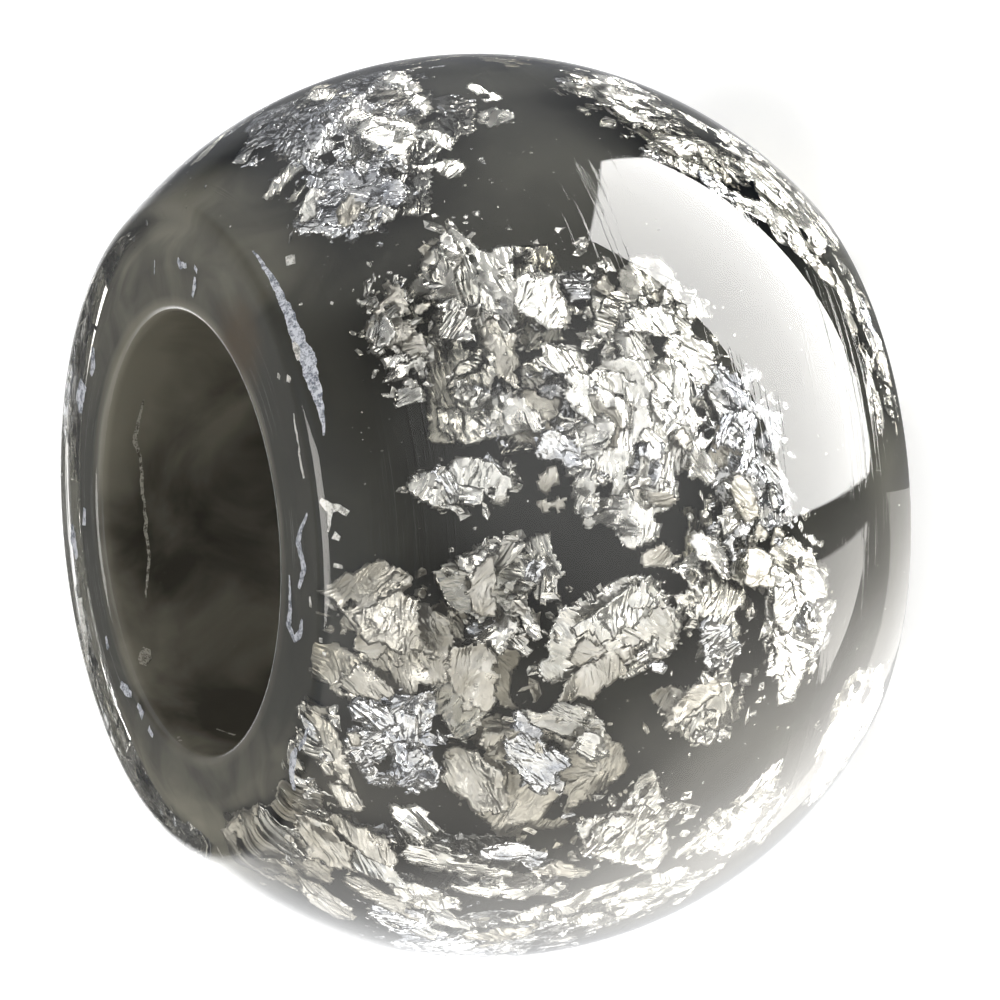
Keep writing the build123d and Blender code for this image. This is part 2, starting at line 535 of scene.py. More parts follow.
@dataclass(frozen=True)
class FoilFinish:
    """Beaten silver leaf: sharp pleats with flat sides, fine grain, and flats that each lean their own way.

    Pleats and grain have a width and a depth in millimetres, and flats a width and a lean.
    """

    name: str
    light: Triple
    # painted dark reflection: the darker tone of random patches, as if they mirrored dark surroundings
    painted_dark_reflection: Triple
    roughness: Pair
    pleat: Pair
    grain: Pair
    flats: Pair
    creases: float = 6.0
    stretch: Triple = (0.36, 1.0, 1.0)
    # the smoky resin's tint on deeper leaf, steeper than its own absorption, so partly painted shade in the
    # leaf's valleys
    smoke_and_painted_shade: Triple = (0.26, 0.25, 0.21)
    smoke_and_painted_shade_radius: Pair = (5.25, 5.80)

    def material(self) -> Material:
        """Metal. Its height is a stretched noise folded up and down like a triangle wave for the pleats, plus
        a fine noise for the grain, and its normal leans by a random vector for each cell of a cell pattern.

        Returns:
            The material.
        """
        bench = NodeBench.for_material(self.name)
        sheet = bench.add("UVMap", uv_map="leaf").outputs["UV"]
        swell = bench.noise(bench.vector("MULTIPLY", sheet, self.stretch), 1 / self.pleat[0], 2.5, 0.6)
        pleats = bench.math("PINGPONG", bench.math("MULTIPLY", swell, self.creases), 0.5)
        grain = bench.noise(sheet, 1 / self.grain[0], 1.5)
        height = bench.math("MULTIPLY", pleats, 2 * self.pleat[1])
        height = bench.math("MULTIPLY_ADD", grain, self.grain[1], height)
        bump = bench.add("Bump", {"Height": height, "Strength": 1.0, "Distance": MM}).outputs["Normal"]
        cells = bench.add("TexVoronoi", {"Vector": sheet, "Scale": 1 / self.flats[0]}).outputs["Color"]
        lean = bench.vector("SUBTRACT", cells, (0.5, 0.5, 0.5))
        lean = bench.vector("SCALE", lean, Scale=2 * self.flats[1])
        normal = bench.vector("NORMALIZE", bench.vector("ADD", bump, lean))
        # painted dark reflection: random patches take the darker tone, as if they mirrored dark surroundings
        patch = bench.spread(bench.noise(sheet, 2.2, 2.0), 0.35, 0.65)
        # darker with depth under the skin: the resin's smoky tint, made steeper than its absorption, so it
        # also paints shade into the leaf's valleys
        inwards = bench.vector("SUBTRACT", bench.place(), (0.0, 0.0, BALL_MIDDLE / MM))
        depth = bench.spread(bench.vector("LENGTH", inwards), *self.smoke_and_painted_shade_radius, 1.0, 0.0)
        colour = bench.blend(1.0, bench.blend(patch, self.light, self.painted_dark_reflection),
                             bench.blend(depth, WHITE, self.smoke_and_painted_shade), "MULTIPLY")
        rough = bench.spread(bench.noise(sheet, 4.0, 1.0), 0.3, 0.7, *self.roughness)
        return bench.finish(Base_Color=colour, Metallic=1.0, Roughness=rough, Normal=normal)


FOILS = {
    LeafLook.BRIGHT: FoilFinish("bright_leaf", (0.86, 0.85, 0.82), (0.60, 0.60, 0.57), (0.16, 0.33),
                                (0.30, 0.009), (0.03, 0.0018), (0.11, 0.08)),
    LeafLook.SATIN: FoilFinish("satin_leaf", (0.74, 0.72, 0.67), (0.44, 0.42, 0.37), (0.25, 0.42),
                               (0.24, 0.008), (0.025, 0.0045), (0.13, 0.10)),
    LeafLook.SPARKLE: FoilFinish("sparkling_leaf", (0.97, 0.98, 1.0), (0.50, 0.52, 0.57), (0.09, 0.23),
                                 (0.28, 0.011), (0.03, 0.0020), (0.07, 0.17)),
}


# The resin
@dataclass
class ResinBody:
    """The polished resin with its dark heart, which is a little inside the skin and behind all the leaf."""

    form: BeadForm
    steps: int = 240
    barrel_points: int = 120
    heart_inset: float = 0.08 * MM
    heart_radius: float = 5.10 * MM
    heart_shoulder: float = 3.5 * MM

    def skin(self) -> Piece:
        """Turned skin with the distance along its section, in millimetres, as the attribute "turning".

        Returns:
            The piece.
        """
        profile = self.form.profile(self.barrel_points)
        points, faces = self.form.revolve(profile, self.steps)
        piece = make_piece("resin_skin", points, faces, [ClearResin().material()], smooth=True)
        stride = np.hypot(*np.diff(profile, axis=0).T) / MM
        along = np.tile(np.r_[0.0, np.cumsum(stride)], self.steps).astype(np.float32)
        piece.data.attributes.new("turning", "FLOAT", "POINT").data.foreach_set("value", along)
        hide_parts("resin_body")
        return piece

    def heart(self) -> Piece:
        """Smoky depth inside the skin, close behind the bore wall and the end faces. Its side is half an
        ellipse that clears the leaf: heart_radius at mid height, and heart_shoulder at the height of its end
        faces.

        Returns:
            The piece.
        """
        half, bore = self.form.middle - self.heart_inset, self.form.bore_radius + self.heart_inset
        top = math.acos(self.heart_shoulder / self.heart_radius)
        turn = np.linspace(top, 0.0, self.barrel_points // 2)
        wall = np.linspace(0.0, half, self.barrel_points // 4, endpoint=False)
        face = np.linspace(bore, self.heart_shoulder, 8, endpoint=False)
        profile = self.form.mirrored([
            np.c_[np.full_like(wall, bore), wall], np.c_[face, np.full_like(face, half)],
            np.c_[self.heart_radius * np.cos(turn), half * np.sin(turn) / math.sin(top)]])
        points, faces = self.form.revolve(profile, self.steps // 2)
        piece = make_piece("resin_heart", points, faces, [SmokyDepth().material()], smooth=True)
        return piece


# The silver leaf
@dataclass(frozen=True)
class Flake:
    """Where one torn flake lies, as in the part's source, and how it looks."""

    longitude: float
    height: float
    span: float
    tall: float
    lead: float
    layer: int
    look: LeafLook


# In the tables of leaf, B is bright, S is satin and K is sparkle.
B, S, K = LeafLook
FLAKES = tuple(Flake(*row) for row in (
    (70, .73, 37, .26, 0, 1, K), (54, .82, 14, .13, 3, 0, K), (64, .34, 17, .15, 3, 0, B),
    (53, .30, 13, .17, 4, 1, B), (47, .13, 26, .16, 2, 0, B), (22, .045, 22, .045, -2, 0, B),
    (27, .85, 17, .055, 0, 0, B), (27, .74, 28, .115, 3, 1, B), (27, .62, 14, .15, 2, 2, B),
    (20, .485, 18, .18, 0, 1, B), (6, .55, 21, .19, 4, 0, B), (12, .69, 8, .14, 0, 2, K),
    (2, .37, 23, .14, 0, 1, K), (3, .80, 6, .12, 2, 0, B), (-12, .755, 13, .11, -4, 1, B),
    (-21, .895, 19, .13, 0, 1, S), (-37, .88, 16, .10, 0, 0, K), (-26, .77, 20, .13, 0, 2, S),
    (-40, .67, 19, .19, 4, 1, S), (-44, .955, 16, .04, 0, 1, B), (-18, .60, 10, .21, -7, 0, B),
    (-13, .42, 18, .12, 0, 2, B), (-19, .29, 18, .12, 0, 0, B), (-30, .43, 9, .13, -4, 1, B),
    (-47, .515, 13, .15, 0, 0, B), (-52, .31, 11, .14, -2, 1, B), (-45, .12, 22, .13, 0, 0, B),
    (-73, .93, 30, .12, 4, 1, S), (-60, .75, 12, .26, 0, 2, K), (-78, .63, 20, .30, 0, 0, K),
    (-66, .42, 10, .20, -3, 1, B), (94, .42, 24, .26, 4, 2, B), (106, .82, 24, .17, 0, 0, K),
    (112, .20, 26, .20, -4, 1, S), (130, .54, 24, .32, 5, 0, B), (150, .83, 30, .16, 0, 1, S),
    (158, .28, 28, .24, 3, 0, K), (-178, .58, 22, .28, -5, 2, B), (-160, .85, 26, .14, 2, 0, B),
    (-156, .26, 24, .24, 0, 1, S), (-136, .56, 28, .30, 4, 0, B), (-114, .85, 26, .14, 0, 2, K),
    (-110, .28, 28, .22, 5, 1, B), (-92, .40, 14, .18, 0, 2, S),
))


@dataclass(frozen=True)
class Scrap:
    """One torn scrap that stands out in the picture: its middle, half length and half width in millimetres,
    turn from due east in degrees, look, whether it flashes, and depth under the skin in millimetres."""

    longitude: float
    height: float
    long: float
    wide: float
    turn: float
    look: LeafLook
    flash: bool = False
    depth: float = 0.20


SCRAPS = tuple(Scrap(*row) for row in (
    (26, .645, .50, .45, 20, B, True), (36.5, .75, .30, .15, -8, B, True), (25.5, .78, .35, .18, 5, B, True),
    (21, .495, .45, .26, 80, B, True), (17.5, .65, .45, .24, 60, B, True),
    (10.5, .60, .62, .30, 43, B, True), (20.5, .715, .50, .33, 20, S, False, .38),
    (11.5, .70, .55, .34, 65, S, False, .50), (6, .67, .40, .25, 70, K, False, .30),
    (1, .69, .38, .20, 10, S, False, .30), (.5, .645, .45, .15, -10, B, True),
    (3, .55, .50, .38, 60, K, False, .30), (6, .53, .22, .12, 50, B, True), (1, .565, .20, .10, 95, B, True),
    (-2.5, .60, .32, .24, 80, B, True), (-1.5, .53, .30, .14, 85, S), (2, .455, .28, .25, 20, B, True),
    (10, .50, .40, .18, 30, B, True), (5, .385, .45, .34, -40, K, False, .25),
    (-2.5, .385, .36, .30, 30, S, False, .25), (-3, .335, .20, .06, 5, B, True),
    (-7, .42, .30, .24, 60, K, False, .30), (-8, .46, .45, .20, 35, B, True),
    (-12, .365, .40, .30, 60, S, False, .25), (-8.7, .535, .30, .20, 85, S),
    (-11, .485, .36, .24, 30, B, True), (-14, .575, .80, .22, -60, B, True),
    (-23, .63, .55, .28, -55, S, True), (-19.5, .43, .45, .34, 40, K, False, .30),
    (-16, .315, .45, .25, 10, B), (-23, .32, .36, .25, -20, B, True), (-27, .46, .55, .24, -50, S, True),
    (-5, .275, .12, .08, 40, B, True), (-8.5, .265, .15, .06, 60, B, True),
    (-17.5, .90, .55, .42, 30, S, True), (-12, .79, .45, .22, 5, S), (-9, .72, .30, .20, -20, K),
    (-25, .80, .60, .45, 20, S, False, .25), (-36, .875, .50, .42, 40, K, False, .30),
    (-27, .93, .40, .24, 70, S), (-43, .945, .60, .11, 25, S, True), (-41, .765, .60, .40, 30, S, True),
    (-36, .69, .60, .42, 60, K, False, .30), (-47, .55, .50, .45, -30, B, True), (-62, .93, .60, .45, 50, S),
    (-56, .77, .80, .28, 90, B), (-59, .66, .80, .24, 85, B, True), (-60, .52, .70, .22, -75, B, True),
    (-70, .81, .70, .28, 90, S, True), (-51.6, .39, .50, .20, -60, B, True),
    (-44, .31, .42, .15, -60, B, True), (-39, .157, .50, .28, -40, B, True), (57, .58, .35, .20, 5, B, True),
    (61, .735, .50, .36, 30, B, True), (50, .70, .50, .15, 80, B, True), (54, .86, .26, .20, 30, K),
    (47, .82, .20, .16, 60, B, True), (28, .845, .60, .20, 15, S, True), (59, .22, .45, .22, 60, B, True),
    (46, .18, .45, .20, 40, B), (-57, .88, .55, .24, 85, S, True), (-63, .85, .60, .28, 100, B, True),
    (-66, .76, .65, .26, 85, B), (-71, .70, .60, .28, 95, B, True), (-66, .59, .65, .26, 80, B, True),
    (-72, .62, .60, .25, 100, S, True), (-68, .50, .60, .24, 70, B, True), (-62, .45, .50, .22, 75, B),
    (-58, .41, .45, .20, 60, B, True), (-76, .75, .60, .25, 90, B, True), (-79, .86, .60, .25, 90, S, True),
    (-50, .84, .45, .30, 80, B, True), (-52, .70, .60, .22, 95, K), (-55, .60, .50, .22, 80, S, True),
    (-49, .93, .35, .20, 40, S, True), (-33, .62, .35, .22, 60, B, True), (45.5, .32, .35, .25, 60, B, True),
    (42, .28, .35, .22, 50, K, True), (40, .24, .35, .22, 70, B), (34, .16, .40, .22, 60, B, True),
    (31, .12, .35, .20, 50, S, True), (27, .10, .40, .20, 20, B, True), (21, .09, .40, .18, 10, S),
    (14, .09, .40, .18, 5, B, True), (9, .08, .30, .14, 0, B, True), (57, .36, .35, .22, 60, B),
    (68, .74, .35, .20, 20, B, True), (60.5, .74, .30, .20, 70, B, True), (56, .68, .30, .18, 30, B, True),
    (66, .66, .40, .20, 10, B, True), (82, .73, .50, .25, 30, B, True), (76, .64, .50, .22, 20, B, True),
    (55.5, .88, .30, .22, 60, B, True), (49.5, .84, .28, .20, 40, S, True), (46, .81, .25, .18, 70, B, True),
    (64, .57, .30, .18, 20, B, True), (33, .85, .25, .16, 80, S, True), (27.5, .86, .28, .18, 60, S, True),
    (21, .86, .22, .14, 80, B, True),
))


@dataclass(frozen=True)
class Sheet:
    """One crumpled sheet: its points, its four-sided faces, its place on the flat leaf, and its look."""

    points: Array
    faces: Array
    flat: Array
    look: LeafLook


@dataclass(frozen=True)
class Habit:
    """How leaf of one look is laid: scraps on a square millimetre, their mean half length in millimetres, the
    chance that one flashes, and how steep the folds are."""

    crowd: float
    size: float
    chance: float
    steep: float


HABITS = {LeafLook.BRIGHT: Habit(11.0, 0.17, 0.5, 1.0), LeafLook.SATIN: Habit(5.0, 0.29, 0.2, 0.8),
          LeafLook.SPARKLE: Habit(13.0, 0.14, 0.3, 1.3)}


@dataclass
class SilverLeaf:
    """All the torn flakes. Each is a main sheet on its own shell under the skin, crumpled, holed and ragged,
    with smaller scraps that overlap it.

    A fold is a width, a slope and a way in radians, and a fray is a depth and the width of its cloud's cells.
    A scrap has a half length, a half width as a share of it, a rise over the shell and a turn in radians.
    These lengths, the room for the crumple and the main sheet's sink are millimetres.
    """

    form: BeadForm
    foils: dict[LeafLook, Material]
    view: Array
    lamps: Array
    cover: float = 0.27 * MM
    pitch: float = 0.18 * MM
    cell: float = 0.042 * MM
    jitter: float = 0.6
    tear_depth: float = 0.16
    tear_waves: tuple[Triple, ...] = ((3, 1.0, 2.4), (5, 0.6, 1.7))
    height_ends: Pair = (0.025, 0.975)
    folding: tuple[Triple, ...] = ((1.3, 0.15, 0.2), (0.7, 0.17, 1.1), (0.36, 0.15, -0.3), (0.19, 0.10, 0.3))
    room: Pair = (-0.20, 0.16)
    fray: Pair = (0.20, 0.5)
    scrap_fray: Pair = (0.06, 0.16)
    swelling: float = 0.02
    hole_cell: float = 0.42
    hole_level: float = 0.62
    hole_slope: float = 0.4
    scrap_heights: Pair = (0.04, 0.96)
    scrap_sizes: Pair = (0.06, 0.55)
    scrap_shares: Pair = (0.35, 0.9)
    scrap_rise: Pair = (-0.10, 0.08)
    scrap_turn: float = 1.6
    scrap_spread: float = 1.3
    own_look: float = 0.6
    main_sink: float = 0.04
    least_facing: float = 0.1
    first_lamp: float = 0.6

    def outline(self, angle: Array, number: float) -> Array:
        """Reach of the torn outline: 1 plus the tear depth times a sum of sine waves turned by the number."""
        waver = sum(share * np.sin(waves * angle + turn * number) for waves, share, turn in self.tear_waves)
        return 1 + self.tear_depth * waver

    def crumple(self, along: Array, across: Array, steep: float, seed: int) -> Array:
        """Heights of a crumpled sheet: folds of four widths, each bent by a cloud and fading in and out by
        another.

        Args:
            along: Place along the pleats, in millimetres.
            across: Place across them.
            steep: How much steeper than usual.
            seed: Which pattern.

        Returns:
            Heights in millimetres.
        """
        height = np.zeros(along.shape)
        for level, (wavelength, slope, way) in enumerate(self.folding):
            own = 7 * seed + 10 * level
            turn = way + 0.5 * cloud(along, across, 1.4, own)
            bent = (along * np.sin(turn) + across * np.cos(turn)
                    + 0.3 * wavelength * cloud(along, across, 0.8, own + 3) + 0.37 * seed)
            strength = 0.6 + 0.7 * cloud(along, across, 0.7, own + 5, 2)
            height += folds(bent, wavelength, steep * slope) * np.clip(strength, 0.05, 1.3)
        return height

    def torn(self, a: Array, b: Array, half: Pair, seed: int, corners: int) -> Array:
        """How far inside a sheet each place lies: to straight tears at random distances or to a flake's wavy
        outline, either frayed by a cloud, and to the holes that another cloud leaves.

        Args:
            a: Place along the sheet, in millimetres.
            b: Place across it.
            half: Half length and half width.
            seed: Which pattern.
            corners: Number of straight tears, or 0 for the wavy outline.

        Returns:
            Distances in millimetres, below 0 where there is no leaf.
        """
        u, v = a / half[0], b / half[1]
        if corners:
            rng = np.random.default_rng(seed)
            way = (np.arange(corners) + rng.uniform(-0.35, 0.35, corners)) * 2 * np.pi / corners
            reach = rng.uniform(0.5, 1.0, corners)
            inside = np.min(reach[:, None, None] - np.multiply.outer(np.cos(way), u)
                            - np.multiply.outer(np.sin(way), v), axis=0) * min(half)
            inside = inside + self.scrap_fray[0] * cloud(a, b, self.scrap_fray[1], seed + 11, 3)
        else:
            inside = (self.outline(np.arctan2(v, u), seed * 0.7) - np.hypot(u, v)) * min(half)
            inside = inside + self.fray[0] * cloud(a, b, self.fray[1], seed + 11, 4) + self.swelling
        hole = self.hole_level - cloud(a, b, self.hole_cell, seed + 29, 4)
        return np.minimum(inside, hole * self.hole_slope)

    def sheet(self, centre: Pair, half: Pair, turn: float, radius: float, lean: Pair, look: LeafLook,
              seed: int, corners: int = 0) -> Sheet:
        """One crumpled, torn sheet on a shell: a grid over its half sizes and a margin, turned on the shell.

        Args:
            centre: Longitude and height share of its middle.
            half: Half length and half width in millimetres.
            turn: Turn of its length from due east, in radians.
            radius: Shell radius.
            lean: Slopes towards the east and the north.
            look: Its look.
            seed: Which pattern.
            corners: Straight tears round it, or 0 for a wavy outline.

        Returns:
            The sheet.
        """
        margin = 1.1 if corners else 1.3
        cell = min(self.cell / MM, min(half) / 3)
        columns, rows = (int(2 * margin * size / cell) + 2 for size in half)
        a, b = np.meshgrid(np.linspace(-margin, margin, columns) * half[0],
                           np.linspace(-margin, margin, rows) * half[1])
        ids = np.arange(a.size).reshape(a.shape)
        a = a + (lattice_value(ids, ids * 0, 31 + seed) - 0.5) * self.jitter * cell
        b = b + (lattice_value(ids, ids * 0, 77 + seed) - 0.5) * self.jitter * cell
        pleats = math.radians(140 * (seed * 0.618 % 1) - 70)
        cosine, sine = math.cos(pleats), math.sin(pleats)
        along, across = a * cosine + b * sine, b * cosine - a * sine
        height = self.crumple(along, across, HABITS[look].steep, seed)
        east = (a * math.cos(turn) - b * math.sin(turn)) * MM
        north = (a * math.sin(turn) + b * math.cos(turn)) * MM
        height += (lean[0] * east + lean[1] * north) / MM
        height = np.clip(height, *self.room)
        reach = self.form.reach(radius, centre[1])
        share = np.clip(centre[1] + north * reach / radius / self.form.width, *self.height_ends)
        points = self.form.shell_points(radius + height * MM, centre[0] + np.degrees(east / reach), share)
        faces = grid_faces(rows, columns)
        faces = faces[self.torn(a, b, half, seed, corners).ravel()[faces].mean(axis=1) > 0]
        flat = np.stack([along, across], axis=-1).reshape(-1, 2) + (seed % 13, seed % 7)
        return Sheet(points.reshape(-1, 3), faces, flat, look)

    def flake(self, number: int, flake: Flake) -> Piece:
        """One flake: its main sheet, and a collage of straight-torn scraps over and under it.

        Args:
            number: 1 for the first flake.
            flake: Its place and look.

        Returns:
            The piece, in place of its node.
        """
        rng = np.random.default_rng(number)
        looks, habit = list(LeafLook), HABITS[flake.look]
        radius = self.form.ball_radius - self.cover - flake.layer * self.pitch
        reach = self.form.reach(radius, flake.height)
        half = (math.radians(flake.span / 2) * reach / MM,
                flake.tall / 2 * self.form.width * radius / reach / MM)
        lead = math.radians(flake.lead) * reach / MM / half[1]
        place = (flake.longitude, flake.height)
        sheets = [self.sheet(place, half, -0.5 * lead, radius - self.main_sink * MM,
                             self.lean(place, habit.chance, rng, 0.05), flake.look, 40 + number)]
        for scrap in range(max(5, round(habit.crowd * math.pi * half[0] * half[1]))):
            way, out = rng.uniform(0, 2 * np.pi), math.sqrt(rng.uniform(0.0, self.scrap_spread))
            east, north = half[0] * out * math.cos(way), half[1] * out * math.sin(way)
            size = float(np.clip(rng.gamma(3.0, habit.size / 3), *self.scrap_sizes))
            look = flake.look if rng.random() < self.own_look else looks[int(rng.integers(3))]
            share = flake.height + north * MM * reach / radius / self.form.width
            place = (flake.longitude + math.degrees(east * MM / reach),
                     float(np.clip(share, *self.scrap_heights)))
            sheets.append(self.sheet(place, (size, size * rng.uniform(*self.scrap_shares)),
                                     rng.uniform(-self.scrap_turn, self.scrap_turn),
                                     radius + rng.uniform(*self.scrap_rise) * MM,
                                     self.lean(place, HABITS[look].chance, rng, 0.12),
                                     look, 1000 * number + 17 * scrap, int(rng.integers(3, 7))))
        return self.join(f"leaf_{number:02d}", sheets, f"silver_leaf_{number:02d}")

    def bent(self, way: Array, normal: Array) -> Array:
        """Direction inside the resin of light that leaves along a way: the bending divides its part along the
        skin."""
        along = (way - normal * (way @ normal)) / RESIN_BENDING
        return along + normal * math.sqrt(1 - along @ along)

    def lean(self, place: Pair, chance: float, rng: Rng, spread: float) -> Pair:
        """Slopes of a whole sheet. Some sheets flash: their normal halves the angle between the bent
        directions to the camera and to a lamp that both stand above the skin there. The others lean any way.

        Args:
            place: Longitude and height share.
            chance: How likely it flashes.
            rng: Source of the random numbers.
            spread: How far the slopes stray.

        Returns:
            Rise towards the east and the north.
        """
        stray = rng.normal(0, spread, 2)
        out, east, north = self.form.compass(self.form.shell_points(self.form.ball_radius, *place))
        lit = self.lamps[self.lamps @ out > self.least_facing]
        if not len(lit) or self.view @ out < self.least_facing or rng.random() > chance:
            return float(stray[0]), float(stray[1])
        lamp = lit[0] if rng.random() < self.first_lamp else lit[int(rng.integers(len(lit)))]
        normal = self.bent(self.view, out) + self.bent(lamp, out)
        return (float(stray[0] * 0.5 - normal @ east / (normal @ out)),
                float(stray[1] * 0.5 - normal @ north / (normal @ out)))

    def join(self, name: str, sheets: list[Sheet], node: str | None = None) -> Piece:
        """Lays several sheets into one piece, with a finish for each look.

        Args:
            name: Its name.
            sheets: Its sheets.
            node: The node that it stands for.

        Returns:
            The piece.
        """
        looks = list(LeafLook)
        points, faces = joined([(sheet.points, sheet.faces) for sheet in sheets])
        piece = make_piece(
            name, points, faces, [self.foils[look] for look in looks], smooth=True,
            choice=np.concatenate([np.full(len(sheet.faces), looks.index(sheet.look)) for sheet in sheets]),
            flat=np.concatenate([sheet.flat for sheet in sheets]))
        thicken(piece)
        if node:
            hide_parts(node)
        return piece

    def loose(self) -> Piece:
        """The scraps that stand out in the picture.

        Returns:
            The piece.
        """
        rng = np.random.default_rng(77)
        sheets = []
        for number, scrap in enumerate(SCRAPS, start=1):
            place = (scrap.longitude, scrap.height)
            sheets.append(self.sheet(place, (scrap.long, scrap.wide), math.radians(scrap.turn),
                                     self.form.ball_radius - scrap.depth * MM,
                                     self.lean(place, float(scrap.flash), rng, 0.07), scrap.look,
                                     90000 + 13 * number, int(rng.integers(4, 8))))
        return self.join("leaf_scraps", sheets)

    def build(self) -> list[Piece]:
        """Every flake in its order, and the loose scraps."""
        return [self.flake(number, flake) for number, flake in enumerate(FLAKES, start=1)] + [self.loose()]


class CutLook(Enum):
    """How leaf looks where it ends at the skin."""

    # bluish-white cut leaf whose tone is painted reflection; the streak along the upper rim is a painted
    # highlight
    COOL = "cool"
    SMOKY = "smoky"
    BRIGHT = "bright"


@dataclass(frozen=True)
class CutFinish:
    """Leaf that the lathe cut open: matt, mottled and finely speckled."""

    name: str
    pale: Triple
    dark: Triple
    mottle: float = 11.0
    grain: float = 38.0
    band: Pair = (0.80, 1.10)

    def material(self) -> Material:
        """Half metallic satin whose tone follows the sum of a coarse and a fine noise.

        Returns:
            The material.
        """
        bench = NodeBench.for_material(self.name)
        speck = bench.math("ADD", bench.noise(bench.place(), self.mottle, 1.0),
                           bench.noise(bench.place(), self.grain, 2.0))
        speck = bench.spread(speck, *self.band)
        bump = bench.add("Bump", {"Height": speck, "Strength": 0.4, "Distance": 0.01 * MM}).outputs["Normal"]
        colour = bench.blend(speck, self.dark, self.pale)
        return bench.finish(Base_Color=colour, Metallic=0.35, Roughness=0.45, Normal=bump)


@dataclass(frozen=True)
class Cut:
    """A sliver close under the skin, as nodes of longitude, distance along the section in millimetres (height
    above the lower face in the bore) and half width in millimetres."""

    look: CutLook
    nodes: tuple[Triple, ...]
    bore: bool = False


COOL, SMOKY, BRIGHT = CutLook
CUT_FINISHES = {
    # painted reflection: the bluish-white tone of these slivers
    COOL: CutFinish("cut_leaf", (0.88, 0.90, 0.97), (0.22, 0.24, 0.30)),
    SMOKY: CutFinish("cut_leaf_smoky", (0.55, 0.53, 0.46), (0.12, 0.11, 0.09)),
    BRIGHT: CutFinish("cut_leaf_bright", (0.99, 0.98, 0.95), (0.42, 0.41, 0.38)),
}
CUTS = tuple(Cut(*row) for row in (
    # painted highlight: the bluish-white streak along the upper rim
    (COOL, ((53, .36, .01), (46.5, .38, .035), (41, .38, .055), (35, .37, .075), (30.5, .38, .095), (26.5,
     .40, .10), (22.5, .40, .085), (19, .41, .05), (14, .37, .01))),
    (COOL, ((1.5, -.18, .02), (-1, -.40, .04), (-4, -.54, .07), (-7, -.44, .06), (-9, -.41, .07), (-13.5,
     -.56, .03))),
    (COOL, ((-11.5, -.84, .015), (-16.5, -.82, .04), (-19.5, -.79, .05), (-23, -.83, .07), (-25, -.62, .05),
     (-22.5, -.47, .06), (-19.5, -.43, .03))),
    (COOL, ((-38, .10, .015), (-41, .08, .03), (-44, .03, .03))),
    (COOL, ((-44.5, -.02, .03), (-47, -.04, .09), (-50, .04, .07), (-52.5, .20, .02))),
    (BRIGHT, ((31.5, .30, .02), (30, .31, .05), (28, .30, .02))),
    (BRIGHT, ((20, -.07, .01), (17, -.12, .03), (14.5, -.12, .015), (12.5, -.16, .03), (8, -.15, .03))),
    (BRIGHT, ((29, -.20, .04), (28, -.16, .03))), (BRIGHT, ((26.5, .02, .05), (25.5, .08, .03))),
    (COOL, ((80.5, -.50, .04), (79, -.56, .05), (76, -.53, .03))),
    (COOL, ((72, -.50, .03), (70.5, -.54, .04))),
    (COOL, ((71.5, -.62, .03), (71.5, -.72, .06), (72.5, -.90, .04))),
    (COOL, ((92.5, -.50, .01), (93.5, -.68, .015))),
    (COOL, ((134, -.50, .05), (137, -.60, .08), (140, -.62, .04))),
    (COOL, ((144, -.46, .10), (148, -.42, .12), (151, -.5, .05))),
    (COOL, ((172, -.75, .04), (176, -.70, .06))),
    (COOL, ((183, -.35, .05), (179, -.28, .09), (176, -.3, .04))),
    (BRIGHT, ((-169, -.26, .06), (-163, -.18, .09), (-158, -.12, .04))),
    (COOL, ((-157, -.84, .03), (-154, -.80, .05))),
    (COOL, ((-144, -.82, .05), (-141, -.90, .09), (-138, -.98, .04))),
    (COOL, ((-134, -1.04, .04), (-130, -1.0, .07))), (COOL, ((-126, -.97, .05), (-123, -.95, .03))),
    (BRIGHT, ((3.5, .16, .03), (2, .28, .06), (1.8, .42, .04), (.7, .52, .04))),
    (BRIGHT, ((1.8, .30, .04), (-1, .26, .02), (-2, .24, .01))),
    (BRIGHT, ((-2.5, .30, .05), (-3.2, .40, .03))), (BRIGHT, ((-7.5, .30, .03), (-7.9, .42, .02))),
    (BRIGHT, ((-14, -.22, .02), (-16, -.20, .04))), (BRIGHT, ((-20.5, .10, .03), (-21.3, .11, .03))),
    (BRIGHT, ((-22.8, .17, .03), (-23.4, .18, .02))), (BRIGHT, ((46.5, .64, .06), (45.8, .76, .07))),
    (BRIGHT, ((35, .93, .02), (34.6, .95, .02))),
    (SMOKY, ((141, 7.92, .012), (149, 7.96, .025), (153.5, 7.98, .035), (158.5, 7.86, .018), (164.5, 7.84,
     .025), (171, 7.80, .018), (177, 7.80, .025), (185, 7.79, .02), (189.5, 7.84, .018), (196, 7.94, .01)),
     True),
    (SMOKY, ((210.5, 8.12, .05), (213, 8.20, .09), (215.5, 8.26, .05)), True),
    (SMOKY, ((246, 8.36, .02), (249, 8.38, .02)), True),
    (SMOKY, ((244, 7.75, .015), (249, 7.60, .02)), True),
))


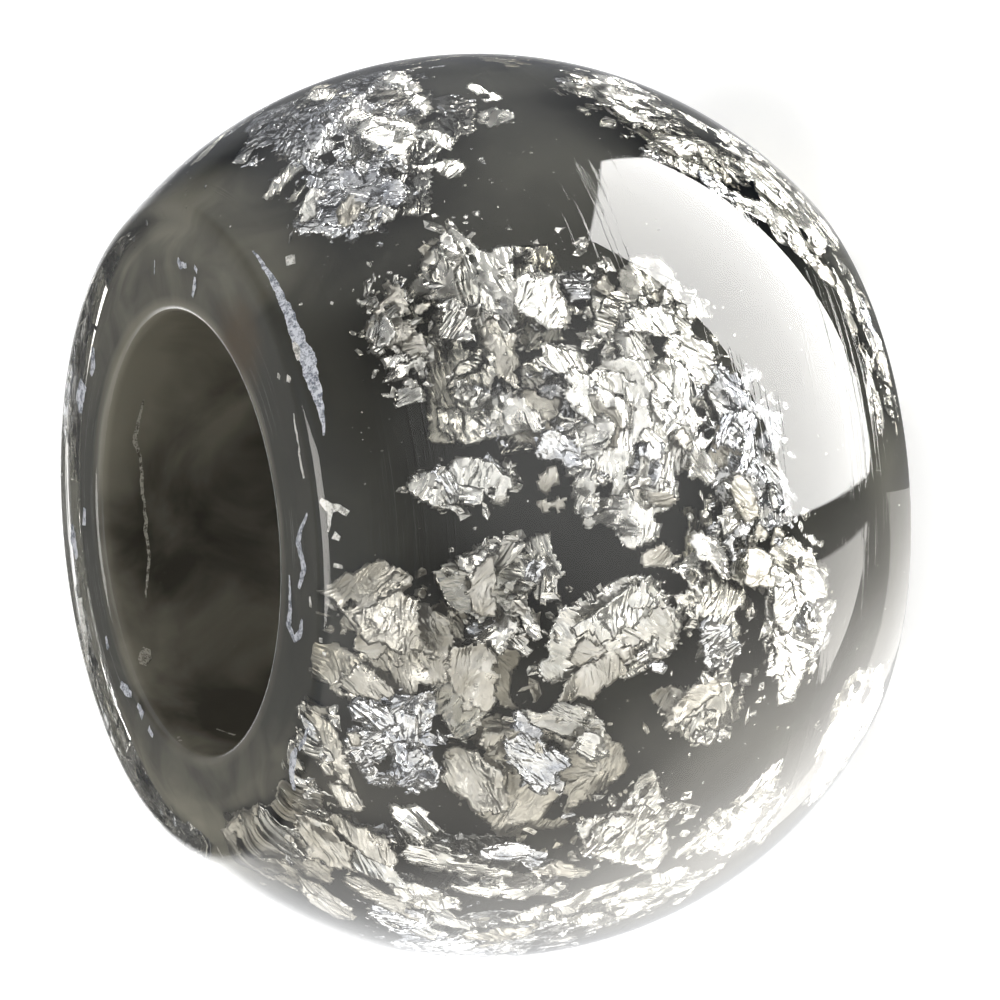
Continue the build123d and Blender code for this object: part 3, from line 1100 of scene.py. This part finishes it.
@dataclass
class CutLeaf:
    """Slivers of leaf that end at the skin of the rim, the end face and the bore. The bluish-white ones carry
    painted reflection, the streak along the upper rim among them. Lengths but the depth are millimetres, and
    the fray is a share of the width."""

    form: BeadForm
    cell: float = 0.015
    ribs: int = 9
    reference: float = 4.1
    depth: float = 0.02 * MM
    waver: float = 0.012
    waver_cell: float = 0.12
    fray: float = 0.16
    fray_cell: float = 0.07

    def sliver(self, cut: Cut, seed: int) -> Mesh:
        """One sliver: ribs across a line through its nodes, with an edge frayed by a cloud.

        Args:
            cut: Its nodes.
            seed: Which fray.

        Returns:
            Points and faces.
        """
        reference = self.form.bore_radius / MM if cut.bore else self.reference
        longitude, along, half = np.array(cut.nodes).T
        east = np.radians(longitude) * reference
        far = np.r_[0.0, np.cumsum(np.hypot(np.diff(east), np.diff(along)))]
        step = np.linspace(0.0, far[-1], max(4, int(far[-1] / self.cell)))
        centre = np.stack([np.interp(step, far, east), np.interp(step, far, along)], axis=-1)
        centre[:, 1] += self.waver * cloud(step, step * 0 + seed, self.waver_cell, seed, 2)
        way = np.gradient(centre, axis=0)
        way /= np.linalg.norm(way, axis=1, keepdims=True) + 1e-9
        width = np.interp(step, far, half)[:, None] * np.linspace(-1.0, 1.0, self.ribs)
        frayed = cloud(step[:, None] + 3 * np.sign(width), width * 0, self.fray_cell, seed + 5, 2)
        width = width * (1 + self.fray * frayed)
        east = centre[:, :1] - way[:, 1:] * width
        along = centre[:, 1:] + way[:, :1] * width
        place = self.form.bore_points if cut.bore else self.form.edge_points
        points = place(np.degrees(east / reference), along * MM, self.depth)
        return points.reshape(-1, 3), grid_faces(len(step), self.ribs)

    def build(self) -> list[Piece]:
        """Lays the slivers of each look into one piece.

        Returns:
            The pieces.
        """
        pieces = []
        for look in CutLook:
            points, faces = joined([self.sliver(cut, 50 + number) for number, cut in enumerate(CUTS)
                                    if cut.look == look])
            piece = make_piece(f"leaf_cuts_{look.value}", points, faces, [CUT_FINISHES[look].material()])
            thicken(piece)
            pieces.append(piece)
        return pieces


@dataclass
class Crumbs:
    """Small torn bits and dust of leaf that drift round the flakes, joined into one piece for each look.

    Depths and sizes are the least and the most in millimetres, and a spread is the shape and scale of a gamma
    draw. Reaches are shares of a bit's half sizes, and leans are radians. Away is a mean and a deviation.
    """

    form: BeadForm
    foils: dict[LeafLook, Material]
    seed: int = 5
    per_flake: int = 45
    dust: int = 2400
    spokes: int = 6
    rings: Pair = (0.5, 1.0)
    reaches: Pair = (0.35, 1.2)
    bulge: float = 0.22
    away: Pair = (1.08, 0.18)
    height_ends: Pair = (0.04, 0.96)
    crumb_depths: Pair = (0.15, 0.6)
    crumb_spread: Pair = (2.0, 0.035)
    crumb_sizes: Pair = (0.015, 0.2)
    crumb_shares: Pair = (0.4, 0.9)
    crumb_lean: float = 0.35
    dust_depths: Pair = (0.1, 0.75)
    dust_spread: Pair = (2.5, 0.0045)
    dust_sizes: Pair = (0.005, 0.035)
    dust_lean: float = 0.5

    def bits(self, centre: Array, long: Array, wide: Array, turn: Array, lean: Array, rng: Rng) -> Mesh:
        """Star-shaped bits: round each centre lie two rings of spokes of random reach, in a plane that leans
        off the shell, and each point stands a little off that plane.

        Args:
            centre: Centres, n times 3.
            long: Half lengths.
            wide: Half widths.
            turn: Turns in the plane, in radians.
            lean: Leans off the shell, in radians.
            rng: Source of the random numbers.

        Returns:
            Points and three-cornered faces.
        """
        count, turn, lean = len(centre), turn[:, None], lean[:, None]
        out, east, north = self.form.compass(centre)
        first = east * np.cos(turn) + north * np.sin(turn)
        second = -east * np.sin(turn) + north * np.cos(turn)
        second = second * np.cos(lean) + out * np.sin(lean)
        upright = np.cross(first, second)
        angle = np.linspace(0, 2 * np.pi, self.spokes, endpoint=False)
        reach = rng.uniform(*self.reaches, (count, 1, self.spokes)) * np.array(self.rings)[None, :, None]
        a = reach * np.cos(angle) * long[:, None, None]
        b = reach * np.sin(angle) * wide[:, None, None]
        c = rng.uniform(-self.bulge, self.bulge, a.shape) * wide[:, None, None]
        rings = (centre[:, None, None] + a[..., None] * first[:, None, None]
                 + b[..., None] * second[:, None, None] + c[..., None] * upright[:, None, None])
        points = np.concatenate([centre[:, None], rings.reshape(count, -1, 3)], axis=1)
        low = 1 + np.arange(self.spokes)
        low_next, high = 1 + low % self.spokes, low + self.spokes
        high_next = low_next + self.spokes
        faces = np.concatenate([np.c_[low * 0, low, low_next], np.c_[low, high, high_next],
                                np.c_[low, high_next, low_next]])
        faces = faces[None] + (np.arange(count) * points.shape[1])[:, None, None]
        return points.reshape(-1, 3), faces.reshape(-1, 3)

    def piece(self, name: str, look: LeafLook, bits: Mesh) -> Piece:
        """Lays bits into one piece.

        Args:
            name: Its name.
            look: Its look.
            bits: Points and faces.

        Returns:
            The piece.
        """
        points, faces = bits
        piece = make_piece(name, points, faces, [self.foils[look]], flat=points[:, :2] / MM)
        return piece

    def build(self) -> list[Piece]:
        """Scatters bits round the flakes' edges, and dust over the whole bead.

        Returns:
            The pieces.
        """
        rng = np.random.default_rng(self.seed)
        pieces = []
        for look in LeafLook:
            flakes = [(f.longitude, f.height, f.span, f.tall) for f in FLAKES if f.look is look]
            base = np.repeat(np.array(flakes), self.per_flake, 0)
            count = len(base)
            turn = rng.uniform(0, 2 * np.pi, count)
            away = rng.normal(*self.away, count)
            longitude = base[:, 0] + away * np.cos(turn) * base[:, 2] / 2
            height = np.clip(base[:, 1] + away * np.sin(turn) * base[:, 3] / 2, *self.height_ends)
            radius = self.form.ball_radius - rng.uniform(*self.crumb_depths, count) * MM
            long = rng.gamma(*self.crumb_spread, count).clip(*self.crumb_sizes) * MM
            bits = self.bits(self.form.shell_points(radius, longitude, height), long,
                             long * rng.uniform(*self.crumb_shares, count), rng.uniform(0, np.pi, count),
                             rng.normal(0, self.crumb_lean, count), rng)
            pieces.append(self.piece(f"leaf_crumbs_{look.value}", look, bits))
        height = rng.uniform(0.03, 0.97, self.dust)
        radius = self.form.ball_radius - rng.uniform(*self.dust_depths, self.dust) * MM
        longitude = rng.uniform(-180, 180, self.dust)
        size = rng.gamma(*self.dust_spread, self.dust).clip(*self.dust_sizes) * MM
        bits = self.bits(self.form.shell_points(radius, longitude, height), size, size,
                         rng.uniform(0, np.pi, self.dust), rng.normal(0, self.dust_lean, self.dust), rng)
        return pieces + [self.piece("leaf_dust", LeafLook.BRIGHT, bits)]


# Studio
@dataclass(frozen=True)
class PictureFrame:
    """Where the camera stands, what it aims at in pixels from the bead's middle, and the picture's own
    directions: right, up and out. Lens and sensor are millimetres."""

    elevation: float = math.radians(25.6)
    roll: float = math.radians(5.4)
    distance: float = 99.6 * MM
    lens: float = 270.0
    sensor: float = 36.0
    pixels_per_mm: float = 75.28
    aim_right: float = 22.5
    aim_up: float = 5.9

    def axes(self) -> Array:
        """The picture's directions: out rises by the elevation from -Y, and right and up are turned by the
        roll.

        Returns:
            Right, up and out in the world, one in each row.
        """
        out = np.array((0.0, -math.cos(self.elevation), math.sin(self.elevation)))
        steep = np.array((0.0, math.sin(self.elevation), math.cos(self.elevation)))
        side = np.array((1.0, 0.0, 0.0))
        cosine, sine = math.cos(self.roll), math.sin(self.roll)
        return np.array((-cosine * steep - sine * side, -sine * steep + cosine * side, out))

    def direction(self, right: float, up: float, out: float) -> Array:
        """World direction of a direction given in the picture."""
        way = np.array((right, up, out)) @ self.axes()
        return way / np.linalg.norm(way)


@dataclass(frozen=True)
class Softbox:
    """A lamp behind a cloth. Its middle is a direction in the picture frame, and each cut trims a corner: the
    cloth ends where across times the first number plus up times the second passes the third, in mm."""

    name: str
    centre: Triple
    wide: float
    tall: float
    brightness: float
    colour: Triple
    cuts: tuple[Triple, ...] = ()
    away: float = 0.30


@dataclass(frozen=True)
class Glow:
    """A soft patch of light in the surroundings, round one direction in the picture frame, eased from its
    inner to its outer angle in degrees."""

    centre: Triple
    inner: float
    outer: float
    brightness: float
    colour: Triple = WHITE


CREAM = (1.0, 0.97, 0.91)
SOFTBOXES = (
    Softbox("main_softbox", (0.815, 0.561, -0.147), 0.23, 0.437, 13.0, (1.0, 0.99, 0.97),
            ((0.08, 0.997, 207.0), (0.754, 0.656, 185.0), (0.239, -0.971, 190.0), (0.933, -0.363, 158.0))),
    Softbox("right_softbox", (0.955, -0.216, -0.203), 0.144, 0.14, 4.6, (1.0, 0.975, 0.93),
            ((-0.342, 0.940, 26.0), (-0.482, -0.876, 30.0))),
    Softbox("low_softbox", (0.679, -0.232, -0.697), 0.20, 0.16, 1.2, (1.0, 0.975, 0.93),
            ((-0.857, -0.514, 7.0),)),
    Softbox("top_softbox", (-0.90, -0.085, 0.43), 0.16, 0.16, 6.0, (1.0, 0.97, 0.92)),
)
SURROUNDINGS = (
    Glow((0.1, -0.55, -0.83), 28, 52, 1.05), Glow((0.45, -0.1, -0.89), 15, 35, 0.2),
    Glow((0.62, -0.68, -0.38), 22, 55, 1.5, CREAM), Glow((0.64, -0.64, -0.43), 8, 34, 2.5, CREAM),
    Glow((0.64, -0.65, 0.41), 6, 42, 0.8, CREAM), Glow((-0.35, -0.10, -0.93), 10, 24, 1.4),
    Glow((-0.34, -0.42, -0.84), 6, 22, 1.0), Glow((0.45, 0.30, 0.84), 10, 55, 1.4),
    Glow((0.0, -0.1, 1.0), 60, 120, 0.24, (1.0, 0.97, 0.90)),
    Glow((-0.85, -0.25, 0.45), 10, 50, 0.5, (0.78, 0.86, 1.0)),
    Glow((-0.3, -0.8, 0.5), 10, 45, 1.0, CREAM), Glow((-0.1, -0.95, -0.2), 12, 42, 0.9, CREAM),
    Glow((-0.2, 0.95, -0.1), 15, 50, 0.7), Glow((0.0, 0.50, -0.87), 8, 26, 0.25),
    Glow((-0.78, -0.07, -0.62), 14, 45, 0.3, (1.0, 0.98, 0.92)),
)


@dataclass
class Studio:
    """Pale floor, softboxes, surroundings and the camera."""

    form: BeadForm
    frame: PictureFrame = field(default_factory=PictureFrame)
    floor_half: float = 0.6
    floor_points: int = 9
    floor_tones: Pair = (0.86, 0.89)
    floor_glow: float = 0.6
    trim_ease: float = 2.0
    base_light: Triple = (0.035, 0.042, 0.058)

    def floor(self) -> None:
        """A wide pale floor under the bead."""
        side = np.linspace(-self.floor_half, self.floor_half, self.floor_points)
        x, y = np.meshgrid(side, side)
        bench = NodeBench.for_material("studio_floor")
        tone = bench.spread(bench.noise(bench.place(), 0.02, 2.0), 0.3, 0.7)
        colour = bench.blend(tone, *((grey, grey, grey) for grey in self.floor_tones))
        paint = bench.finish(Base_Color=colour, Roughness=0.9, Specular_IOR_Level=0.0,
                             Emission_Color=(*WHITE, 1.0), Emission_Strength=self.floor_glow)
        points = np.stack([x, y, np.zeros_like(x)], axis=-1)
        piece = make_piece("studio_floor", points, grid_faces(self.floor_points, self.floor_points), [paint])
        piece.visible_glossy = piece.visible_transmission = False
        piece.visible_diffuse = piece.visible_shadow = False

    def stand(self, name: str, data: bpy.types.ID, place: Array, axes: tuple[Array, Array, Array]) -> Piece:
        """Puts a lamp or the camera in the scene.

        Args:
            name: Its name.
            data: Its data.
            place: Where it stands.
            axes: World directions of its right, up and back.

        Returns:
            The new object.
        """
        thing = bpy.data.objects.new(name, data)
        turn = Matrix([list(row) for row in np.array(axes).T]).to_4x4()
        thing.matrix_world = Matrix.Translation(place.tolist()) @ turn
        bpy.context.scene.collection.objects.link(thing)
        return thing

    def lamp(self, box: Softbox) -> None:
        """One area lamp that faces the bead; its cloth has the softbox's brightness as its radiance.

        Args:
            box: The softbox.
        """
        out = self.frame.direction(*box.centre)
        across = np.cross(self.frame.axes()[1], out)
        across /= np.linalg.norm(across)
        light = bpy.data.lights.new(box.name, "AREA")
        light.shape, light.size, light.size_y = "RECTANGLE", box.wide, box.tall
        light.color = box.colour
        light.energy = box.brightness * math.pi * box.wide * box.tall
        if box.cuts:
            self.trim(light, box)
        place = np.array((0.0, 0.0, self.form.middle)) + out * box.away
        self.stand(box.name, light, place, (across, np.cross(out, across), out)).visible_camera = False

    def trim(self, light: bpy.types.Light, box: Softbox) -> None:
        """Trims the cloth's corners: the place on it is set against each cut, and past one no light comes.

        Args:
            light: The lamp's data.
            box: The softbox.
        """
        light.use_nodes = True
        bench = NodeBench(light.node_tree)
        wide, tall = box.wide / MM, box.tall / MM
        spot = bench.add("NewGeometry").outputs["Parametric"]
        place = bench.vector("MULTIPLY_ADD", spot, (wide, tall, 0.0), (-wide / 2, -tall / 2, 0.0))
        total = 1.0
        for across, up, limit in box.cuts:
            far = bench.vector("DOT_PRODUCT", place, (across, up, 0.0))
            share = bench.spread(far, limit + self.trim_ease, limit - self.trim_ease)
            total = bench.math("MULTIPLY", share, total)
        emission = next(node for node in bench.tree.nodes if node.type == "EMISSION")
        bench.tree.links.new(total, emission.inputs["Strength"])

    def world(self) -> None:
        """Surroundings: an even light and soft patches, but plain white where the camera sees past all."""
        world = bpy.data.worlds.new("studio_surroundings")
        bpy.context.scene.world = world
        world.use_nodes = True
        world.node_tree.nodes.clear()
        bench = NodeBench(world.node_tree)
        where = bench.add("TexCoord").outputs["Generated"]
        total = self.base_light
        for glow in SURROUNDINGS:
            near = bench.vector("DOT_PRODUCT", where, self.frame.direction(*glow.centre).tolist())
            share = bench.spread(near, math.cos(math.radians(glow.outer)), math.cos(math.radians(glow.inner)),
                                 ease="SMOOTHSTEP")
            light = bench.vector("SCALE", [c * glow.brightness for c in glow.colour], Scale=share)
            total = bench.vector("ADD", light, total)
        lit = bench.add("Background", {"Color": total}).outputs[0]
        seen = bench.add("Background", {"Color": (*WHITE, 1.0)}).outputs[0]
        path = bench.add("LightPath").outputs["Is Camera Ray"]
        mix = bench.add("MixShader", {0: path, 1: lit, 2: seen}).outputs[0]
        bench.add("OutputWorld", {"Surface": mix})

    def camera(self) -> None:
        """The camera at the photograph's angle, turned to the point that the picture centres on."""
        frame, axes = self.frame, self.frame.axes()
        centre = np.array((0.0, 0.0, self.form.middle))
        eye = centre + axes[2] * frame.distance
        aim = centre + (axes[0] * frame.aim_right + axes[1] * frame.aim_up) / frame.pixels_per_mm * MM
        back = (eye - aim) / np.linalg.norm(eye - aim)
        right = axes[0] - back * (axes[0] @ back)
        right /= np.linalg.norm(right)
        data = bpy.data.cameras.new("camera")
        data.lens, data.sensor_width, data.clip_start = frame.lens, frame.sensor, MM
        bpy.context.scene.camera = self.stand("camera", data, eye, (right, np.cross(back, right), back))

    def build(self) -> None:
        """Sets up everything round the bead."""
        self.floor()
        for box in SOFTBOXES:
            self.lamp(box)
        self.world()
        self.camera()
        settings = bpy.context.scene.view_settings
        settings.view_transform, settings.look = "Standard", "None"


def main() -> None:
    """Builds the bead and its studio, and notes the size of the solid and of the dressed model."""
    logging.basicConfig(level=logging.INFO, format="%(message)s")
    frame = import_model()
    log.info("frame: %d nodes", len(frame["nodes"]))
    form = BeadForm()
    foils = {look: finish.material() for look, finish in FOILS.items()}
    resin, studio = ResinBody(form), Studio(form)
    lamps = np.array([studio.frame.direction(*box.centre) for box in SOFTBOXES])
    pieces = [resin.skin(), resin.heart()]
    pieces += SilverLeaf(form, foils, studio.frame.axes()[2], lamps).build()
    pieces += CutLeaf(form).build()
    pieces += Crumbs(form, foils).build()
    for piece in pieces:
        log.info("%s: %d faces", piece.name, len(piece.data.polygons))
    studio.build()


if __name__ == "__main__":
    main()
